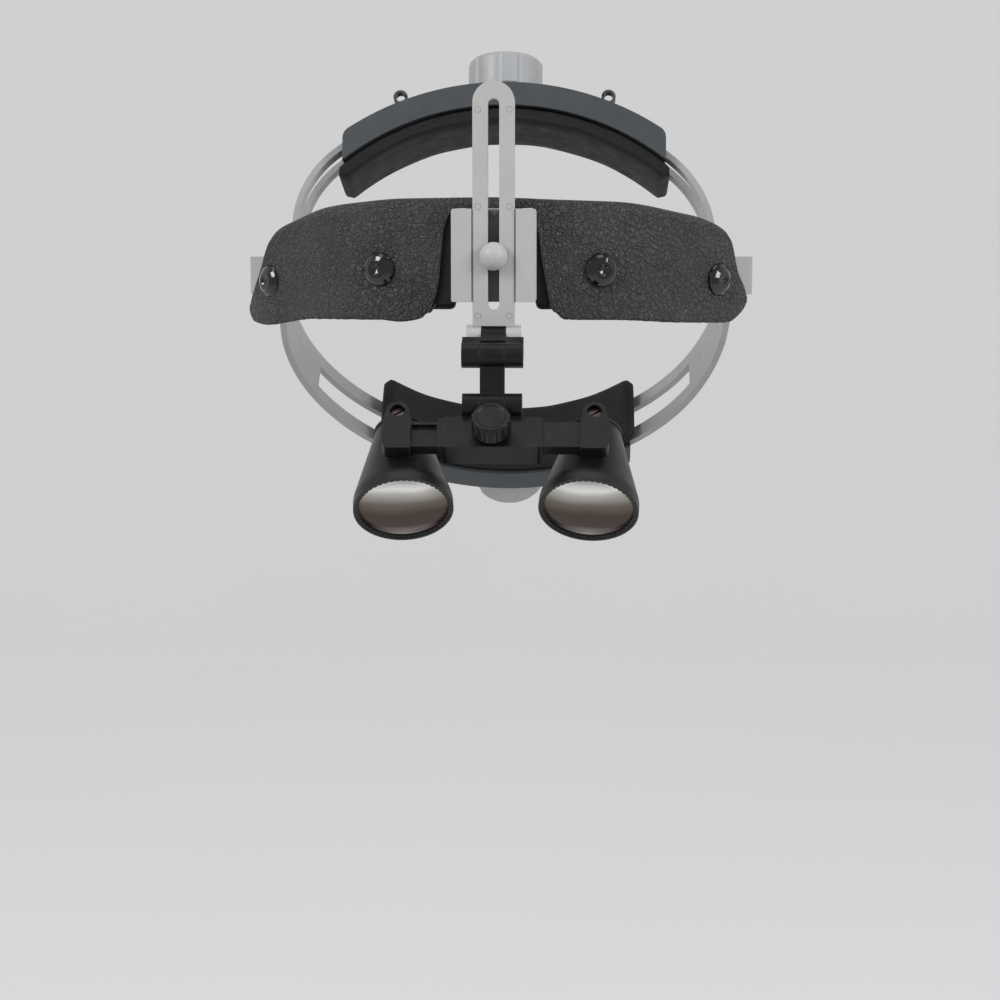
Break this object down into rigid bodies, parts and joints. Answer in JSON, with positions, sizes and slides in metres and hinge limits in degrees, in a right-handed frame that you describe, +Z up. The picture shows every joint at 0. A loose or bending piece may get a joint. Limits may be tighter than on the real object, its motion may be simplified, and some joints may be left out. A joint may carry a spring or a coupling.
{
  "type": "dental loupes",
  "caption": "Headband-mounted binocular loupes on a sliding bar and three-hinge linkage, with crown and rear straps and a leather brow cover.",
  "frame": {"origin": "middle of the head opening at the mid-height of the front band", "axes": "+Z up, -Y the way the wearer faces, +X to the wearer's left"},
  "size_m": [0.179, 0.2263, 0.1739],
  "materials": {
    "grey_plastic": "light warm grey moulded plastic, fine satin",
    "dark_grey_plastic": "dark grey moulded plastic",
    "slate_plastic": "slate grey moulded plastic, satin",
    "knob_grey": "cool light grey moulded plastic, satin",
    "black_plastic": "black moulded plastic, fine spark texture",
    "black_metal": "black anodised aluminium, satin",
    "gloss_black": "polished black",
    "white_nylon": "natural nylon",
    "leather": "black pebbled leather with a raw cut edge",
    "foam": "black foam with a knitted skin",
    "steel": "bright steel",
    "brass": "plain brass",
    "glass": "coated optical glass",
    "rubber": "soft black rubber"
  },
  "bodies": {
    "headband": {"front_band": "black_plastic", "leather_cover": "leather", "brow_pads": "foam", "snap_caps": "gloss_black", "snap_sockets": "steel", "side_studs": "steel", "slide_bracket": "grey_plastic", "bracket_backplate": "dark_grey_plastic", "bracket_screws": "steel", "clamp_nut": "brass"},
    "clamp_knob": {"thumb_knob": "grey_plastic"},
    "slide_bar": {"slide_bar": "grey_plastic", "hinge_pin_1": "steel"},
    "upper_link": {"upper_link": "black_plastic", "hinge_pin_2": "steel"},
    "lower_link": {"lower_link": "black_plastic"},
    "bridge": {"bridge_housing": "black_plastic", "bridge_cover": "black_plastic", "hinge_pin_3": "steel"},
    "pd_knob": {"pd_knob": "black_plastic", "pd_pinion": "steel"},
    "left_arm": {"left_arm": "black_plastic", "left_pivot_screw": "steel"},
    "left_barrel": {"left_barrel": "black_metal", "left_saddle": "black_plastic", "left_objective_crown": "glass", "left_objective_flint": "glass", "left_retaining_ring": "black_metal", "left_eyepiece_lens": "glass", "left_eye_ring": "rubber"},
    "right_arm": {"right_arm": "black_plastic", "right_pivot_screw": "steel"},
    "right_barrel": {"right_barrel": "black_metal", "right_saddle": "black_plastic", "right_objective_crown": "glass", "right_objective_flint": "glass", "right_retaining_ring": "black_metal", "right_eyepiece_lens": "glass", "right_eye_ring": "rubber"},
    "crown_pivot": {"crown_bushes": "white_nylon"},
    "crown_housing": {"crown_upper_shell": "slate_plastic", "crown_lower_shell": "slate_plastic", "crown_shell_screws": "steel", "crown_foam_pad": "foam", "crown_knob_washer": "steel", "cable_hooks": "slate_plastic"},
    "crown_knob": {"crown_knob": "knob_grey", "crown_pinion": "grey_plastic"},
    "crown_strap_left": {"crown_strap_left": "grey_plastic"},
    "crown_strap_right": {"crown_strap_right": "grey_plastic"},
    "rear_pivot": {"rear_bushes": "white_nylon"},
    "rear_housing": {"rear_upper_shell": "slate_plastic", "rear_lower_shell": "slate_plastic", "rear_shell_screws": "steel", "rear_foam_pad": "foam", "rear_knob_washer": "steel"},
    "rear_knob": {"rear_knob": "knob_grey", "rear_pinion": "grey_plastic"},
    "rear_strap_left": {"rear_strap_left": "grey_plastic"},
    "rear_strap_right": {"rear_strap_right": "grey_plastic"}
  },
  "joints": [
    {"name": "clamp_turn", "type": "hinge", "parent": "headband", "child": "clamp_knob", "pos_m": [0, -0.1115, 0.0015], "axis": [0, 1, 0], "range_deg": [-540, 0]},
    {"name": "bar_slide", "type": "slide", "parent": "headband", "child": "slide_bar", "axis": [0, 0, 1], "range_m": [-0.045, 0.006]},
    {"name": "first_hinge", "type": "hinge", "parent": "slide_bar", "child": "upper_link", "pos_m": [0, -0.11, -0.0242], "axis": [-1, 0, 0], "range_deg": [-15, 36]},
    {"name": "second_hinge", "type": "hinge", "parent": "upper_link", "child": "lower_link", "pos_m": [0, -0.122, -0.0295], "axis": [-1, 0, 0], "range_deg": [-15, 90]},
    {"name": "third_hinge", "type": "hinge", "parent": "lower_link", "child": "bridge", "pos_m": [0, -0.1237, -0.0451], "axis": [-1, 0, 0], "range_deg": [-25, 50]},
    {"name": "left_arm_slide", "type": "slide", "parent": "bridge", "child": "left_arm", "axis": [-1, 0, 0], "range_m": [-0.0025, 0.004]},
    {"name": "right_arm_slide", "type": "slide", "parent": "bridge", "child": "right_arm", "axis": [1, 0, 0], "range_m": [-0.0025, 0.004]},
    {"name": "pd_knob_turn", "type": "hinge", "parent": "bridge", "child": "pd_knob", "pos_m": [0, -0.13, -0.05292], "axis": [0, -0.7193, 0.6947], "range_deg": [-60, 96]},
    {"name": "left_barrel_swivel", "type": "hinge", "parent": "left_arm", "child": "left_barrel", "pos_m": [-0.0298, -0.12036, -0.05013], "axis": [0, -0.7193, 0.6947], "range_deg": [-3, 2]},
    {"name": "right_barrel_swivel", "type": "hinge", "parent": "right_arm", "child": "right_barrel", "pos_m": [0.0322, -0.12036, -0.05013], "axis": [0, 0.7193, -0.6947], "range_deg": [-3, 2]},
    {"name": "crown_tilt", "type": "hinge", "parent": "headband", "child": "crown_pivot", "pos_m": [0, 0, -0.005], "axis": [1, 0, 0], "range_deg": [-20, 25]},
    {"name": "crown_adjust", "type": "slide", "parent": "crown_pivot", "child": "crown_housing", "axis": [0, 0.2588, 0.9659], "range_m": [-0.004, 0.004]},
    {"name": "crown_strap_left_feed", "type": "hinge", "parent": "crown_housing", "child": "crown_strap_left", "pos_m": [0, -0.00877, -0.03775], "axis": [0, -0.9659, 0.2588], "range_deg": [-3, 3]},
    {"name": "crown_strap_right_feed", "type": "hinge", "parent": "crown_housing", "child": "crown_strap_right", "pos_m": [0, -0.00877, -0.03775], "axis": [0, 0.9659, -0.2588], "range_deg": [-3, 3]},
    {"name": "crown_knob_turn", "type": "hinge", "parent": "crown_housing", "child": "crown_knob", "pos_m": [0, -0.00877, -0.03775], "axis": [0, -0.2588, -0.9659], "range_deg": [-74, 74]},
    {"name": "rear_tilt", "type": "hinge", "parent": "headband", "child": "rear_pivot", "pos_m": [0, 0, -0.005], "axis": [1, 0, 0], "range_deg": [-15, 15]},
    {"name": "rear_adjust", "type": "slide", "parent": "rear_pivot", "child": "rear_housing", "axis": [0, 0.682, -0.7314], "range_m": [-0.005, 0.005]},
    {"name": "rear_strap_left_feed", "type": "hinge", "parent": "rear_housing", "child": "rear_strap_left", "pos_m": [0, 0.01023, -0.01597], "axis": [0, 0.7314, 0.682], "range_deg": [-3.5, 3.5]},
    {"name": "rear_strap_right_feed", "type": "hinge", "parent": "rear_housing", "child": "rear_strap_right", "pos_m": [0, 0.01023, -0.01597], "axis": [0, -0.7314, -0.682], "range_deg": [-3.5, 3.5]},
    {"name": "rear_knob_turn", "type": "hinge", "parent": "rear_housing", "child": "rear_knob", "pos_m": [0, 0.01023, -0.01597], "axis": [0, -0.682, 0.7314], "range_deg": [-72, 72]}
  ],
  "couplings": [
    {"joint": "right_arm_slide", "follows": "left_arm_slide", "ratio": 1},
    {"joint": "pd_knob_turn", "follows": "left_arm_slide", "rad_per_m": 416.67},
    {"joint": "crown_strap_left_feed", "follows": "crown_adjust", "rad_per_m": 13.089},
    {"joint": "crown_strap_right_feed", "follows": "crown_adjust", "rad_per_m": 13.089},
    {"joint": "crown_knob_turn", "follows": "crown_adjust", "rad_per_m": 320.68},
    {"joint": "rear_strap_left_feed", "follows": "rear_adjust", "rad_per_m": 12.136},
    {"joint": "rear_strap_right_feed", "follows": "rear_adjust", "rad_per_m": 12.136},
    {"joint": "rear_knob_turn", "follows": "rear_adjust", "rad_per_m": 248.79}
  ]
}
